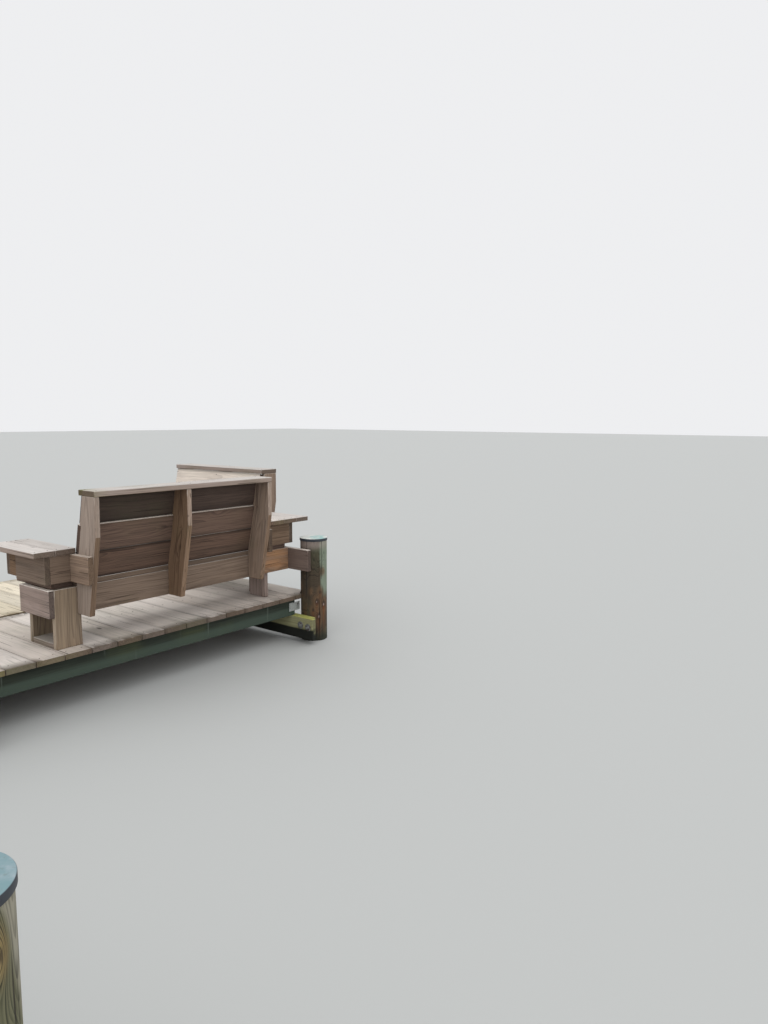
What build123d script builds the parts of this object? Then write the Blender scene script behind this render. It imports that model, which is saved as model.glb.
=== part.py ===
from build123d import *
import math
import os

# A wooden jetty: a platform of two decking fields on round piles, a walkway
# that joins its near side, and an L of two benches round the outer corner.
# Millimetres, +Z up. The origin is the foot of the corner pile, at the water.
# +X runs along the platform's near edge and out past its end.
# +Y runs from the walkway across the platform.

# Sawn timber
board = 38
wide_board = 184
narrow_board = 140
board_gap = 4

# Round piles and their flat caps
pile_diameter = 230
head_pile_height = 867
walkway_pile_height = 1032
cap_thickness = 18
cap_lip = 3
pile_clearance = 5

# Platform: bays run along X and the two fields lie side by side in Y
deck_height = 400
bay_length = 3048
bay_count = 2
field_width = 1220
field_gap = 40
pile_line = 33
deck_end_reach = 5
rim_setback = 40
rim_bearing = 31
beam_overhang = 48
beam_ply_step = 38

# Walkway
walkway_offset = 4177
walkway_width = 1220
walkway_bay = 3001
walkway_bay_count = 2
walkway_gap = 4

# Bench backs: distance from the deck's corner, length and middle upright
near_back_start = 577
near_back_length = 1524
near_middle = 791
end_back_start = 552
end_back_length = 1219
end_middle = 609.5

# Bench heights: the seat's above the deck, the back's and its bend's above the seat
seat_height = 434
back_height = 603
bend_height = 306

# Bench backs in profile, measured back from the rear apron's outer face
back_lean = 12.3
slat_count_low = 2
slat_start = 5
top_slat_inset = 14
upright_foot = 142
upright_bend = 246
upright_top = 248
cap_overhang = 4

# Arm boxes and legs, measured from the end of a back and the rear apron
leg_edge = 158
arm_box_width = 175
arm_box_depth = 570
side_board_tail = 209
spacer_reach = 480
table_back_overhang = 16
table_front_overhang = 15
corner_board_proud = 17
corner_back_overhang = 70
corner_top_gap = 20
corner_leg_place = 364
apron_nose = 77
arm_top_boards = 2
corner_top_boards = 4

# Worked out from the sizes above
pile_radius = pile_diameter / 2
beam_width = 2 * board
beam_edge = pile_radius + beam_width
rim_break = beam_edge - rim_bearing
beam_reach = pile_radius + beam_overhang
inner_ply_reach = beam_reach - beam_ply_step
head_depth = 2 * field_width + field_gap
far_pile_line = head_depth + 2 * pile_line
head_pile_x = [-bay * bay_length for bay in range(bay_count + 1)]
head_x = (head_pile_x[-1] - deck_end_reach, deck_end_reach)
near_field = (pile_line, pile_line + field_width)
far_field = (near_field[1] + field_gap, pile_line + head_depth)
decking_bottom = deck_height - board
joist_bottom = decking_bottom - narrow_board
beam_bottom = joist_bottom - wide_board
joist_z = (joist_bottom, decking_bottom)

walkway_x = (-walkway_offset - pile_line - walkway_width, -walkway_offset - pile_line)
walkway_pile_x = (walkway_x[0] - pile_line, walkway_x[1] + pile_line)
walkway_pile_y = [-bay * walkway_bay for bay in range(1, walkway_bay_count + 1)]
walkway_y = (walkway_pile_y[-1] - deck_end_reach, near_field[0] - walkway_gap)

apron_inset = pile_radius + deck_end_reach
seat_depth = 2 * wide_board + board_gap
seat_bottom = seat_height - board
apron_bottom = seat_bottom - wide_board
apron_z = (apron_bottom, seat_bottom)
arm_z = (seat_height, seat_height + wide_board)
table_z = (arm_z[1], arm_z[1] + board)
back_top = seat_height + back_height
back_cap_z = (back_top - board, back_top)
near_back = (near_back_start, near_back_start + near_back_length)
end_back = (end_back_start, end_back_start + end_back_length)


def save(name, *solids):
    """Write one named piece, made of one or more separate solids."""
    shape = solids[0] if len(solids) == 1 else Compound(children=list(solids))
    export_step(shape, f"parts/{name}.step")


def block(x, y, z):
    """A board or slab between two x, two y and two z values."""
    spans = [sorted(pair) for pair in (x, y, z)]
    centre = [(low + high) / 2 for low, high in spans]
    size = [high - low for low, high in spans]
    return Pos(*centre) * Box(*size)


def upright_cylinder(x, y, bottom, top, radius):
    """A vertical cylinder between two heights."""
    standing = (Align.CENTER, Align.CENTER, Align.MIN)
    return Pos(x, y, bottom) * Cylinder(radius, top - bottom, align=standing)


def decking(x, y, piles):
    """A slab of decking, notched round the piles that stand up through it."""
    slab = block(x, y, (decking_bottom, deck_height))
    for pile_x, pile_y in piles:
        slab -= upright_cylinder(
            pile_x, pile_y, decking_bottom, deck_height, pile_radius + pile_clearance
        )
    return slab


def near_place(u, v, z):
    """Bench coordinates to the part's frame for the bench on the near edge.

    u runs along the bench from the deck's corner, v runs inwards from the
    rear apron's outer face and z is the height above the deck.
    """
    return Vector(deck_end_reach - u, pile_line + apron_inset + v, deck_height + z)


def end_place(u, v, z):
    """The same coordinates for the bench along the platform's end."""
    return Vector(deck_end_reach - apron_inset - v, pile_line + u, deck_height + z)


def bench_block(place, u, v, z):
    """A board between two u, two v and two z values of a bench."""
    low, high = (place(*corner) for corner in zip(u, v, z))
    return block((low.X, high.X), (low.Y, high.Y), (low.Z, high.Z))


def bench_prism(place, outline, u):
    """A board with an outline in v and z, carried from one u to another."""
    face = make_face(Polyline(*[place(u[0], v, z) for v, z in outline], close=True))
    along = place(u[1], 0, 0) - place(u[0], 0, 0)
    return extrude(face, amount=along.length, dir=along.normalized())


def back_point(slant, inset):
    """The v and z of a point on a back: up its slope, then square off it."""
    lean = math.radians(back_lean)
    v = inset * math.cos(lean) - slant * math.sin(lean)
    z = seat_height + slant * math.cos(lean) + inset * math.sin(lean)
    return v, z


def upright_outline():
    """The outline of a back upright, whose top half is set in for the slat."""
    step = slat_start + slat_count_low * wide_board + (slat_count_low - 1) * board_gap
    step_v, step_z = back_point(step, top_slat_inset)
    top_z = back_cap_z[0]
    top_v = step_v - (top_z - step_z) * math.tan(math.radians(back_lean))
    return [
        (0, apron_bottom),
        (0, seat_height),
        back_point(step, 0),
        (step_v, step_z),
        (top_v, top_z),
        (-upright_top, top_z),
        (-upright_bend, seat_height + bend_height),
        (-upright_foot, apron_bottom),
    ]


def slat_outline(index):
    """The outline of one back slat, counted from the seat upwards."""
    start = slat_start + index * (wide_board + board_gap)
    inset = top_slat_inset if index == slat_count_low else 0
    return [
        back_point(start, inset),
        back_point(start + wide_board, inset),
        back_point(start + wide_board, inset + board),
        back_point(start, inset + board),
    ]


def make_back(name, place, back, middle):
    """The uprights, slats and cap of one bench back."""
    start, end = back
    faces = (start, start + middle - board / 2, end - board)
    outline = upright_outline()
    uprights = [bench_prism(place, outline, (u, u + board)) for u in faces]
    save(f"{name}_back_uprights", *uprights)

    slats = [bench_prism(place, slat_outline(i), back) for i in range(slat_count_low)]
    top_span = (start + board / 2, end - board / 2)
    slats.append(bench_prism(place, slat_outline(slat_count_low), top_span))
    save(f"{name}_back_slats", *slats)

    cap_v = -upright_top - cap_overhang
    save(f"{name}_back_cap", bench_block(place, back, (cap_v, cap_v + wide_board), back_cap_z))


def make_seat(name, place, back, rear_start, front_start):
    """The seat boards of one bench and the two aprons that carry them."""
    step = wide_board + board_gap
    seat_z = (seat_bottom, seat_height)
    boards = [bench_block(place, back, (v, v + wide_board), seat_z) for v in (0, step)]
    save(f"{name}_seat", *boards)

    rear_span = (rear_start, back[1] + leg_edge - wide_board)
    front_span = (front_start, back[1] + leg_edge)
    rear = bench_block(place, rear_span, (0, board), apron_z)
    front = bench_block(place, front_span, (seat_depth - board, seat_depth), apron_z)
    save(f"{name}_aprons", rear, front)


def make_arm(name, place, end):
    """The legs and the boxed arm table at the outer end of one bench."""
    leg_u = (end + leg_edge - wide_board, end + leg_edge)
    leg_z = (0, seat_bottom)
    inner_leg_v = (seat_depth - 2 * board, seat_depth - board)
    rear_leg = bench_block(place, leg_u, (0, board), leg_z)
    front_leg = bench_block(place, leg_u, inner_leg_v, leg_z)
    save(f"{name}_arm_legs", rear_leg, front_leg)

    side_u = (leg_u[1], leg_u[1] + board)
    save(f"{name}_arm_side_apron", bench_block(place, side_u, (0, seat_depth), apron_z))

    front_v = (arm_box_depth - board, arm_box_depth)
    inner = bench_block(place, (end, end + board), (-side_board_tail, front_v[0]), arm_z)
    outer_u = (end + arm_box_width - board, end + arm_box_width)
    outer = bench_block(place, outer_u, (board, front_v[0]), arm_z)
    save(f"{name}_arm_box_sides", inner, outer)

    rear = bench_block(place, (end + board, outer_u[1]), (0, board), arm_z)
    front = bench_block(place, (end, outer_u[1]), front_v, arm_z)
    save(f"{name}_arm_box_ends", rear, front)

    face_u = (outer_u[1], outer_u[1] + board)
    save(f"{name}_arm_face_board", bench_block(place, face_u, (0, seat_depth), arm_z))

    top_v = (-table_back_overhang, arm_box_depth + table_front_overhang)
    starts = [end + board_gap + i * (narrow_board + board_gap) for i in range(arm_top_boards)]
    tops = [bench_block(place, (u, u + narrow_board), top_v, table_z) for u in starts]
    save(f"{name}_arm_top", *tops)


def arm_foot_plate(place, end):
    """The flat board that lies on the deck between an arm's two legs."""
    leg_u = (end + leg_edge - wide_board, end + leg_edge)
    return bench_block(place, leg_u, (board, seat_depth - 2 * board), (0, board))


def arm_spacer(place, end):
    """The set-back board between a bench's frame and its arm box."""
    spacer_z = (seat_bottom, seat_height)
    return bench_block(place, (end, end + leg_edge), (board, spacer_reach), spacer_z)


def make_corner_table():
    """The boxed table, its spacer and its two legs where the benches meet."""
    box_x = (near_place(near_back[0], 0, 0).X, end_place(0, 0, 0).X)
    box_y = (near_place(0, 0, 0).Y, end_place(end_back[0], 0, 0).Y)
    z = [deck_height + height for height in arm_z]
    proud_x = box_x[1] + corner_board_proud
    inner_x = proud_x - board
    inner_y = box_y[1] - board

    side_near = block((box_x[0], box_x[0] + board), (box_y[0] - side_board_tail, inner_y), z)
    side_end = block((inner_x, proud_x), (box_y[0], inner_y), z)
    save("corner_box_sides", side_near, side_end)

    end_near = block((box_x[0] + board, inner_x), (box_y[0], box_y[0] + board), z)
    end_far = block((box_x[0], box_x[1] + side_board_tail), (inner_y, box_y[1]), z)
    save("corner_box_ends", end_near, end_far)

    top_y = (box_y[0] - corner_back_overhang, box_y[1])
    top_z = [deck_height + height for height in table_z]
    step = narrow_board + board_gap
    starts = [box_x[0] + corner_top_gap + i * step for i in range(corner_top_boards)]
    save("corner_top", *[block((x, x + narrow_board), top_y, top_z) for x in starts])

    leg_z = (0, seat_bottom)
    first_u = (corner_leg_place, corner_leg_place + board)
    save("corner_leg_near", bench_block(near_place, first_u, (board, board + wide_board), leg_z))
    second_u = near_place(0, 2 * board + wide_board, 0).Y - pile_line
    second_span = (second_u, second_u + board)
    save("corner_leg_end", bench_block(end_place, second_span, (board, board + wide_board), leg_z))

    spacer_z = (deck_height + seat_bottom, deck_height + seat_height)
    return block((box_x[0], box_x[1] - board), (box_y[0] + board, box_y[1]), spacer_z)


def joist(x, y):
    """One joist or rim board on edge under the decking."""
    return block(x, y, joist_z)


def rim_spans(start, stop, piles):
    """The stretches of a rim between the piles that interrupt it."""
    cuts = [(centre - rim_break, centre + rim_break) for centre in sorted(piles)]
    edges = [start] + [edge for cut in cuts for edge in cut] + [stop]
    pairs = zip(edges[0::2], edges[1::2])
    return [(low, high) for low, high in pairs if high - low > rim_bearing]


def make_head_joists(name, field, outer):
    """Three rows of joists under one field; the outer row stops at piles."""
    low = field[0] + rim_setback
    high = field[1] - rim_setback - board
    middle = (field[0] + field[1] - board) / 2
    solids = []
    for y in (low, middle, high):
        spans = rim_spans(*head_x, head_pile_x) if y == outer(low, high) else [head_x]
        solids += [joist(span, (y, y + board)) for span in spans]
    save(name, *solids)


def make_walkway_joists():
    """Three rows of joists under the walkway, up to the platform's rim."""
    low = walkway_x[0] + rim_setback
    high = walkway_x[1] - rim_setback - board
    middle = (walkway_x[0] + walkway_x[1] - board) / 2
    run = (walkway_y[0], near_field[0] + rim_setback)
    solids = [joist((middle, middle + board), run)]
    for x in (low, high):
        solids += [joist((x, x + board), span) for span in rim_spans(*run, walkway_pile_y)]
    save("walkway_joists", *solids)


def beam_plies(centre, sides):
    """The inner and outer ply of each beam that grips a row of piles."""
    inner, outer = [], []
    for side in sides:
        faces = [centre + side * (pile_radius + i * board) for i in range(3)]
        inner.append((faces[0], faces[1]))
        outer.append((faces[1], faces[2]))
    return inner, outer


def make_head_beams():
    """Doubled beams on each platform bent: inside the ends, both sides between."""
    inner_y, outer_y = ((-reach, far_pile_line + reach) for reach in (inner_ply_reach, beam_reach))
    beam_z = (beam_bottom, joist_bottom)
    inner, outer = [], []
    for x in head_pile_x:
        sides = (-1,) if x == head_pile_x[0] else (1,) if x == head_pile_x[-1] else (-1, 1)
        plies = beam_plies(x, sides)
        inner += [block(ply, inner_y, beam_z) for ply in plies[0]]
        outer += [block(ply, outer_y, beam_z) for ply in plies[1]]
    save("head_beam_inner_plies", *inner)
    save("head_beam_outer_plies", *outer)


def make_walkway_beams():
    """Doubled beams on each walkway bent, laid out as on the platform."""
    first, last = walkway_pile_x
    inner_x, outer_x = ((first - reach, last + reach) for reach in (inner_ply_reach, beam_reach))
    beam_z = (beam_bottom, joist_bottom)
    inner, outer = [], []
    for y in walkway_pile_y:
        sides = (1,) if y == walkway_pile_y[-1] else (-1, 1)
        plies = beam_plies(y, sides)
        inner += [block(inner_x, ply, beam_z) for ply in plies[0]]
        outer += [block(outer_x, ply, beam_z) for ply in plies[1]]
    save("walkway_beam_inner_plies", *inner)
    save("walkway_beam_outer_plies", *outer)


def make_piles():
    """Every pile, from the water up, and the flat caps on their heads."""
    near_row = [(x, 0) for x in head_pile_x]
    far_row = [(x, far_pile_line) for x in head_pile_x]
    walkway_rows = [(x, y) for y in walkway_pile_y for x in walkway_pile_x]

    def row(places, height):
        return [upright_cylinder(x, y, 0, height, pile_radius) for x, y in places]

    def caps(places, height):
        radius = pile_radius + cap_lip
        top = height + cap_thickness
        return [upright_cylinder(x, y, height, top, radius) for x, y in places]

    save("corner_pile", *row(near_row[:1], head_pile_height))
    save("near_row_piles", *row(near_row[1:], head_pile_height))
    save("far_row_piles", *row(far_row, head_pile_height))
    save("walkway_piles", *row(walkway_rows, walkway_pile_height))
    head_caps = caps(near_row + far_row, head_pile_height)
    save("pile_caps", *head_caps, *caps(walkway_rows, walkway_pile_height))


os.makedirs("parts", exist_ok=True)

make_piles()
make_head_beams()
make_walkway_beams()
make_head_joists("head_joists_near", near_field, min)
make_head_joists("head_joists_far", far_field, max)
make_walkway_joists()

head_piles = [(x, y) for x in head_pile_x for y in (0, far_pile_line)]
walkway_piles = [(x, y) for x in walkway_pile_x for y in walkway_pile_y]
save("head_deck_near", decking(head_x, near_field, head_piles))
save("head_deck_far", decking(head_x, far_field, head_piles))
save("walkway_deck", decking(walkway_x, walkway_y, walkway_piles))

make_back("near", near_place, near_back, near_middle)
make_back("end", end_place, end_back, end_middle)
corner_run = apron_inset + seat_depth
make_seat("near", near_place, near_back, apron_inset + board, corner_run)
make_seat("end", end_place, end_back, -pile_line - apron_nose, corner_run - board)
make_arm("near", near_place, near_back[1])
make_arm("end", end_place, end_back[1])
arm_ends = ((near_place, near_back[1]), (end_place, end_back[1]))
save("leg_foot_plates", *[arm_foot_plate(*arm) for arm in arm_ends])
corner_spacer = make_corner_table()
save("table_spacers", *[arm_spacer(*arm) for arm in arm_ends], corner_spacer)
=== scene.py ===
"""The looks of a wooden jetty: weathered boards, round piles and an L of benches."""
import logging
import math
from dataclasses import dataclass, field, replace
from enum import Enum
from typing import Callable, Sequence

import bpy
import numpy as np
from mathutils import Matrix, Vector


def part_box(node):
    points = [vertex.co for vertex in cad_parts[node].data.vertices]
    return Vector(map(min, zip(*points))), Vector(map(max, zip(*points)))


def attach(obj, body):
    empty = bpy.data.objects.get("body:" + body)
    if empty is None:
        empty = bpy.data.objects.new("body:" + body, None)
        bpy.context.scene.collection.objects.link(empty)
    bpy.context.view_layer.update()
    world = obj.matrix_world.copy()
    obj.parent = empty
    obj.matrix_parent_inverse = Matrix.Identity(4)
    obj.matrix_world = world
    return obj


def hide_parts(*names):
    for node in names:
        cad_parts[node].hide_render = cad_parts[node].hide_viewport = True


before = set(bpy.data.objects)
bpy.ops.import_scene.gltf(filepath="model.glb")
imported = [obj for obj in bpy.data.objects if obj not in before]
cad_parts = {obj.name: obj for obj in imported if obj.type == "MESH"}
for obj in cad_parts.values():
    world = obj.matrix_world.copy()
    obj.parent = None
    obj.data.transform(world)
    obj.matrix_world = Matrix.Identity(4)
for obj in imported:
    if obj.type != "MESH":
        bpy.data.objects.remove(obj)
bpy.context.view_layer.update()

LOG = logging.getLogger("jetty")
BODY = "root"

Array = np.ndarray
Draws = np.random.Generator
Triple = tuple[float, float, float]
Colour = Triple
Pair = tuple[Colour, Colour]

STOCK_WIDTHS = (0.184, 0.140)
WIDTH_TOLERANCE = 0.001
SAME_PLACE = 1e-4

# Where a board's pith lies in its log, in metres, and the most that a board bends
LOG_LENGTH = 40.0
PITH_DRIFT = 0.03
PITH_BELOW = (0.03, 0.12)
MOST_BEND = 0.002

# Shares of the corner radius: how far a board's end is drawn in, the least radius
# there, and how far its narrow edges and its rounded edges reach onto the faces
DRAWN_IN, LEAST_CORNER = 0.85, 0.15
EDGE_REACH, ROUND_REACH = 0.6, 1.05

# What the finishes read at each vertex, and the usual value
LAYERS: dict[str, float] = {"tone": 0.5, "end": 0.0, "fade": 0.0, "mark": 0.0, "soil": 0.0}


@dataclass
class Skin:
    """Surfaces gathered into one mesh, with what the finishes read at each vertex.

    grain is the place inside the log in metres (along, across, through). Of the
    layers, tone is one number a board, fade says how far the weather has bleached
    the surface, end is 1 on sawn ends, mark is the share of the finish's own mark,
    such as dirt, fresh wood, moss or the painted shade at the corner box's ends, and
    soil is how dark it is painted, partly for real dirt and partly as
    painted shade, such as under the back's cap and in the gaps between slats. soft
    says of each face whether it is shaded smooth.
    """

    points: list[Array] = field(default_factory=list)
    quads: list[Array] = field(default_factory=list)
    grain: list[Array] = field(default_factory=list)
    soft: list[Array] = field(default_factory=list)
    layers: dict[str, list[Array]] = field(default_factory=lambda: {name: [] for name in LAYERS})
    count: int = 0

    def add(
        self, points: Array, quads: Array, grain: Array, soft: Array | bool = True, **values: Array | float
    ) -> None:
        """Add one closed surface, turned so that its faces point outwards.

        Args:
            points: Vertex places, one row each.
            quads: Vertex numbers of the faces, four a row.
            grain: Place inside the log at each vertex.
            soft: Whether each face is shaded smooth.
            values: Layers by name. One that is left out has its usual value.
        """
        a, b, c, d = (points[quads[:, i]] for i in range(4))
        middle = points.mean(axis=0)
        swept = np.einsum("ij,ij->i", a - middle, np.cross(c - a, d - b)).sum()
        self.points.append(points)
        self.quads.append((quads if swept >= 0 else quads[:, ::-1]) + self.count)
        self.grain.append(grain)
        self.soft.append(np.broadcast_to(soft, len(quads)))
        for label, usual in LAYERS.items():
            self.layers[label].append(np.broadcast_to(values.get(label, usual), len(points)))
        self.count += len(points)

    def build(self, name: str, material: bpy.types.Material) -> bpy.types.Object:
        """Make the mesh object and let it ride on the jetty's body.

        Args:
            name: The piece's name.
            material: Its finish.

        Returns:
            The new object, at the origin and unturned.
        """
        points, quads = np.concatenate(self.points), np.concatenate(self.quads)
        mesh = bpy.data.meshes.new(name)
        mesh.vertices.add(len(points))
        mesh.vertices.foreach_set("co", points.astype(np.float32).ravel())
        mesh.loops.add(quads.size)
        mesh.loops.foreach_set("vertex_index", quads.astype(np.int32).ravel())
        mesh.polygons.add(len(quads))
        mesh.polygons.foreach_set("loop_start", np.arange(0, quads.size, 4, dtype=np.int32))
        mesh.update(calc_edges=True)
        mesh.polygons.foreach_set("use_smooth", np.concatenate(self.soft))
        grain = mesh.attributes.new("grain", "FLOAT_VECTOR", "POINT")
        grain.data.foreach_set("vector", np.concatenate(self.grain).astype(np.float32).ravel())
        for label, values in self.layers.items():
            layer = mesh.attributes.new(label, "FLOAT", "POINT")
            layer.data.foreach_set("value", np.concatenate(values).astype(np.float32))
        mesh.materials.append(material)
        piece = bpy.data.objects.new(name, mesh)
        bpy.context.scene.collection.objects.link(piece)
        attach(piece, BODY)
        LOG.info("%s: %d faces", name, len(quads))
        return piece


def extent(points: Array) -> tuple[Array, Array]:
    """The lowest and the highest corner of the box round some points."""
    return points.min(axis=0), points.max(axis=0)


def full_turn(count: int) -> Array:
    """Angles at even steps round a circle."""
    return np.linspace(0, 2 * math.pi, count, endpoint=False)


def loose_solids(node: str) -> list[Array]:
    """Return the corner points of each separate solid of a CAD node.

    The lowest vertex number is spread over each triangle until it fills its solid.

    Args:
        node: The node's name.

    Returns:
        One array of points for each solid, in order of their middles' x, y and z.
    """
    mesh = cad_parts[node].data
    points = np.empty(len(mesh.vertices) * 3, np.float32)
    mesh.vertices.foreach_get("co", points)
    corners = np.empty(len(mesh.loops), np.int32)
    mesh.loops.foreach_get("vertex_index", corners)
    unique, index = np.unique(points.reshape(-1, 3).round(5), axis=0, return_inverse=True)
    triangles = index.ravel()[corners].reshape(-1, 3)
    labels = np.arange(len(unique))
    while True:
        spread = labels.copy()
        np.minimum.at(spread, triangles, labels[triangles].min(axis=1)[:, None])
        if np.array_equal(spread, labels):
            break
        labels = spread
    solids = [unique[labels == label].astype(float) for label in np.unique(labels)]
    return sorted(solids, key=lambda points: tuple((points.min(axis=0) + points.max(axis=0)).round(2)))


def ring_faces(rings: int, around: int) -> Array:
    """Quads that join rings of points and close the two ends.

    Each ring is joined to the next. Quads between mirrored points, the first and
    the last, the second and the last but one, close the first ring and the last.

    Args:
        rings: How many rings there are.
        around: How many points a ring has, an even number.

    Returns:
        Vertex numbers, four a row: the sides, then the two ends.
    """
    number = np.arange(rings * around).reshape(rings, around)
    turned = np.roll(number, -1, axis=1)
    sides = np.stack([number[:-1], turned[:-1], turned[1:], number[1:]], axis=-1).reshape(-1, 4)
    upper = np.arange(around // 2)
    lower = around - 1 - upper
    first, last = (
        np.stack([row[upper[:-1]], row[lower[:-1]], row[lower[1:]], row[upper[1:]]], axis=-1)
        for row in number[[0, -1]]
    )
    return np.concatenate([sides, first, last[:, ::-1]])


def turned_surface(points: Array, origin: Array) -> tuple[Array, Array, Array]:
    """A closed surface of rings, one row of points for each ring.

    Args:
        points: Places, by ring, by angle, by coordinate. The angles are even in number.
        origin: Where the grain's coordinates start.

    Returns:
        The points, the quads and the grain's coordinates, as Skin.add takes them.
    """
    flat = points.reshape(-1, 3)
    return flat, ring_faces(*points.shape[:2]), flat - origin


@dataclass(frozen=True)
class Lofting:
    """How a sawn board's surface is laid out."""

    corner: float = 0.0035
    shrink: float = 0.0004
    step: float = 0.06
    across: int = 6
    bow: float = 0.0012
    cup: float = 0.0008


FLAT = Lofting(bow=0.0003, cup=0.0003)
FINE = Lofting(step=0.012)
PLATE = Lofting(corner=0.0008, shrink=0.0, step=0.02, bow=0.0, cup=0.0)


@dataclass(frozen=True)
class Wear:
    """How far a board's wide faces and narrow edges are bleached, and how dark they are painted.

    The darkening is partly dirt and partly painted shade, as on the top back slat
    under the cap and on slat edges at the gaps. one_sided keeps the darkening of
    the wide faces to the one along the thickness axis.
    """

    face: float = 0.3
    edge: float = 0.5
    soil: float = 0.0
    edge_dirt_and_shade: float = 0.0
    one_sided: bool = False


@dataclass
class Board:
    """One sawn board, as a loft of rounded rectangles along its length.

    centre, width_axis and half_width have one row for each station.
    """

    centre: Array
    width_axis: Array
    half_width: Array
    thick_axis: Array
    half_thick: float
    lofting: Lofting = Lofting()
    wear: Wear = Wear()

    def outline(self, half_width: Array, half_thick: Array, corner: Array) -> tuple[Array, Array]:
        """Rounded rectangles, one for each station, symmetric about the board's middle plane.

        The upper half runs over a quarter arc, across the face and over the other
        quarter arc; the lower half is its mirror, run backwards.

        Args:
            half_width: Half widths, one a station.
            half_thick: Half thicknesses, one a station.
            corner: Corner radii, one a station.

        Returns:
            Offsets across and through, each with a row a station.
        """
        turn = np.linspace(0, math.pi / 2, 4)
        face = np.linspace(-1, 1, self.lofting.across + 2)[1:-1]
        left_a = -np.cos(turn)[None, :] * corner[:, None] - (half_width - corner)[:, None]
        arc_b = (half_thick - corner)[:, None] + np.sin(turn)[None, :] * corner[:, None]
        face_a = face[None, :] * (half_width - corner)[:, None]
        face_b = np.repeat(half_thick[:, None], len(face), axis=1)
        upper_a = np.hstack([left_a, face_a, -left_a[:, ::-1]])
        upper_b = np.hstack([arc_b, face_b, arc_b[:, ::-1]])
        return np.hstack([upper_a, upper_a[:, ::-1]]), np.hstack([upper_b, -upper_b[:, ::-1]])

    def stations(self, run: Array) -> Array:
        """Where the rings stand: close together at the ends, at each bend and at even steps.

        Args:
            run: How far along the board each row of its centre lies.

        Returns:
            Distances along the board, in order.
        """
        loft = self.lofting
        ends = loft.corner * np.array([0.0, 0.3, 1.0])
        fixed = np.unique(np.concatenate([ends, run[-1] - ends, run[1:-1]]).round(6))
        regular = np.arange(loft.corner + loft.step, run[-1] - loft.corner - loft.step / 2, loft.step)
        far = np.abs(regular[:, None] - fixed[None, :]).min(axis=1) > loft.step / 4
        return np.unique(np.concatenate([fixed, regular[far]]))

    def add_to(
        self,
        skin: Skin,
        random: Draws,
        warp: Callable[[Array], Array] | None = None,
        mark: Callable[[Array], Array] | None = None,
    ) -> None:
        """Loft the board and add it to a skin.

        Each ring is the station's outline, drawn in towards the board's ends by the
        corner radius. Along the board it is moved by half a sine wave for bow and
        crook, and through it by the square of the place across for cup. Only the
        rounded corners are shaded smooth.

        Args:
            skin: The skin that takes the surface.
            random: Draws the board's place in its log, its tone and its bow.
            warp: An optional last change to the points.
            mark: Gives the share of the finish's mark at each point.
        """
        loft, wear = self.lofting, self.wear
        tone = float(random.random())
        side = random.choice([-1, 1]) * random.uniform(*PITH_BELOW)
        pith = np.array([random.uniform(0, LOG_LENGTH), random.normal(0, PITH_DRIFT), side])
        bends = random.normal(0, 1, 3) * (loft.bow, loft.bow, loft.cup)
        bow, crook, cup = np.clip(bends, -MOST_BEND, MOST_BEND)

        steps = np.linalg.norm(np.diff(self.centre, axis=0), axis=1)
        run = np.concatenate([[0], np.cumsum(steps)])
        stations = self.stations(run)
        centre, axis = (
            np.stack([np.interp(stations, run, values[:, i]) for i in range(3)], axis=1)
            for values in (self.centre, self.width_axis)
        )
        to_end = np.minimum(stations, run[-1] - stations)
        drawn_in = np.clip(1 - to_end / loft.corner, 0, 1) ** 2 * loft.corner * DRAWN_IN
        radius = np.maximum(loft.corner - drawn_in, loft.corner * LEAST_CORNER)
        half_width = np.interp(stations, run, self.half_width) - drawn_in - loft.shrink
        half_thick = self.half_thick - drawn_in - loft.shrink
        across, through = self.outline(half_width, half_thick, radius)

        arch = np.sin(math.pi * stations / run[-1])[:, None]
        curl = cup * ((across / half_width.max()) ** 2 - 0.4)
        points = (
            centre[:, None, :]
            + (across + crook * arch)[:, :, None] * axis[:, None, :]
            + (through + bow * arch + curl)[:, :, None] * self.thick_axis[None, None, :]
        )
        flat = points.reshape(-1, 3)
        if warp is not None:
            flat = warp(flat)

        rows, ring = across.shape
        quads = ring_faces(rows, ring)
        half = ring // 2
        column, row = np.arange(ring) % half, np.arange(rows - 1)
        corners = (column < 3) | (np.abs(column - (half - 3)) < 2)
        soft = np.zeros(len(quads), bool)
        soft[: (rows - 1) * ring] = (corners[None, :] | ((row < 2) | (row > rows - 4))[:, None]).ravel()

        grain = np.stack([np.repeat(stations[:, None], ring, axis=1), across, through], axis=-1) + pith
        end = np.zeros((rows, ring))
        end[[0, -1]] = 1
        on_edge, rounded = (
            np.abs(across) > (half_width - loft.corner * share)[:, None]
            for share in (EDGE_REACH, ROUND_REACH)
        )
        fade = np.where(on_edge, wear.edge, wear.face)
        # Dirt and painted shade: wide faces and rounded edges are painted darker by the board's wear
        dirt_and_shade_faces = (through > 0) | (not wear.one_sided)
        soil = np.where(rounded, wear.edge_dirt_and_shade, dirt_and_shade_faces * wear.soil)
        share = mark(flat) if mark is not None else 0.0
        skin.add(
            flat, quads, grain.reshape(-1, 3), soft,
            tone=tone, end=end.ravel(), fade=fade.ravel(), mark=share, soil=soil.ravel(),
        )


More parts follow.
